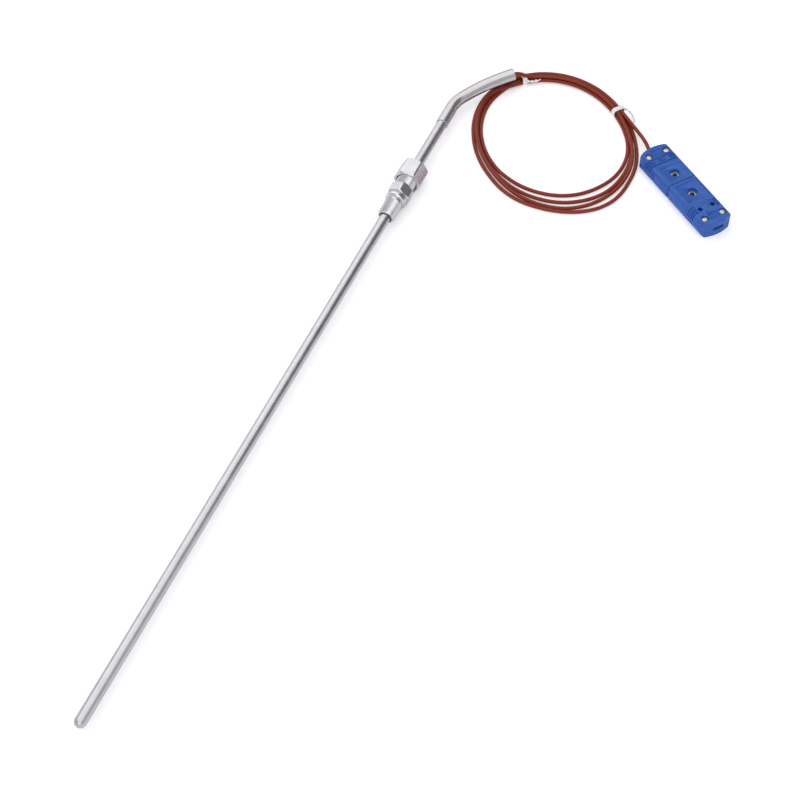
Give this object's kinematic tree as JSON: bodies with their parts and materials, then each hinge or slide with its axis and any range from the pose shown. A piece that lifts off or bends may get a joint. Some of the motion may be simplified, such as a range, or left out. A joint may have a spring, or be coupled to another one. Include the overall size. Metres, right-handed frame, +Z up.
{
  "type": "thermocouple",
  "caption": "Mineral-insulated thermocouple probe with a bored-through compression fitting, a bent transition tube, a coiled lead and a mated pair of miniature flat-blade connectors.",
  "frame": {"origin": "on the sheath's axis at the small end of the fitting's pipe thread, where the insertion length is measured", "axes": "+Y along the sheath from the measuring tip to the lead, +Z up from the surface that the probe lies on, +X to the side of the coil and the connectors"},
  "size_m": [0.1405, 0.3797, 0.011],
  "materials": {
    "sheath_steel": "satin drawn tube with fine lengthwise grain",
    "fitting_steel": "turned and milled, bright",
    "ferrule_steel": "turned",
    "tube_steel": "polished bent tube",
    "mineral_powder": "compacted white oxide powder",
    "junction_metal": "fused bead",
    "copper": "bare copper",
    "constantan": "bare copper-nickel",
    "splice_sleeve": "tinned crimp sleeve",
    "potting_resin": "cured resin",
    "lead_jacket": "smooth reddish brown extruded jacket",
    "tie_band": "white coated twist tie",
    "blue_moulding": "blue moulded thermoplastic, satin",
    "cover_screw": "nickel plated",
    "terminal_screw": "plated brass",
    "eyelet_metal": "pale brass",
    "blade_constantan": "stamped, satin",
    "blade_copper": "stamped, satin",
    "grommet_rubber": "dark red, soft"
  },
  "bodies": {
    "probe": {"sheath": "sheath_steel", "tip_cap": "sheath_steel", "mineral_insulation": "mineral_powder", "hot_junction": "junction_metal", "copper_conductor": "copper", "constantan_conductor": "constantan", "transition_tube": "tube_steel", "copper_splice": "splice_sleeve", "copper_splice_wires": "copper", "constantan_splice": "splice_sleeve", "constantan_splice_wires": "constantan", "potting": "potting_resin", "lead_coil": "lead_jacket", "lead_start": "lead_jacket", "lead_tail": "lead_jacket", "lead_tie_1": "tie_band", "lead_tie_2": "tie_band", "plug_base": "blue_moulding", "plug_cover": "blue_moulding", "plug_cover_screws": "cover_screw", "plug_terminal_screws": "terminal_screw", "plug_eyelet": "eyelet_metal", "plug_copper_blade": "blade_copper", "plug_copper_wire": "copper", "plug_constantan_blade": "blade_constantan", "plug_constantan_wire": "constantan"},
    "front_ferrule": {"front_ferrule": "ferrule_steel"},
    "fitting_body": {"fitting_body": "fitting_steel"},
    "back_ferrule": {"back_ferrule": "ferrule_steel"},
    "fitting_nut": {"fitting_nut": "fitting_steel"},
    "jack": {"jack_copper_contact": "blade_copper", "jack_constantan_contact": "blade_constantan", "jack_base": "blue_moulding", "jack_cover": "blue_moulding", "jack_cover_screws": "cover_screw", "jack_terminal_screws": "terminal_screw", "jack_eyelet": "eyelet_metal", "jack_entry_grommet": "grommet_rubber"}
  },
  "joints": [
    {"name": "fitting_slide", "type": "slide", "parent": "probe", "child": "front_ferrule", "axis": [0, 1, 0], "range_m": [-0.235, 0.024]},
    {"name": "fitting_turn", "type": "hinge", "parent": "front_ferrule", "child": "fitting_body", "pos_m": [0, 0.0152, 0], "axis": [0, 1, 0], "continuous": true},
    {"name": "nut_travel", "type": "slide", "parent": "fitting_body", "child": "back_ferrule", "axis": [0, 1, 0], "range_m": [-0.00125, 0.004]},
    {"name": "nut_turn", "type": "hinge", "parent": "back_ferrule", "child": "fitting_nut", "pos_m": [0, 0.0272, 0], "axis": [0, 1, 0], "range_deg": [-450, 1440]},
    {"name": "jack_pull", "type": "slide", "parent": "probe", "child": "jack", "axis": [0.807, -0.5906, 0], "range_m": [0, 0.03]}
  ],
  "couplings": [
    {"joint": "nut_turn", "follows": "nut_travel", "rad_per_m": 6283.2}
  ]
}
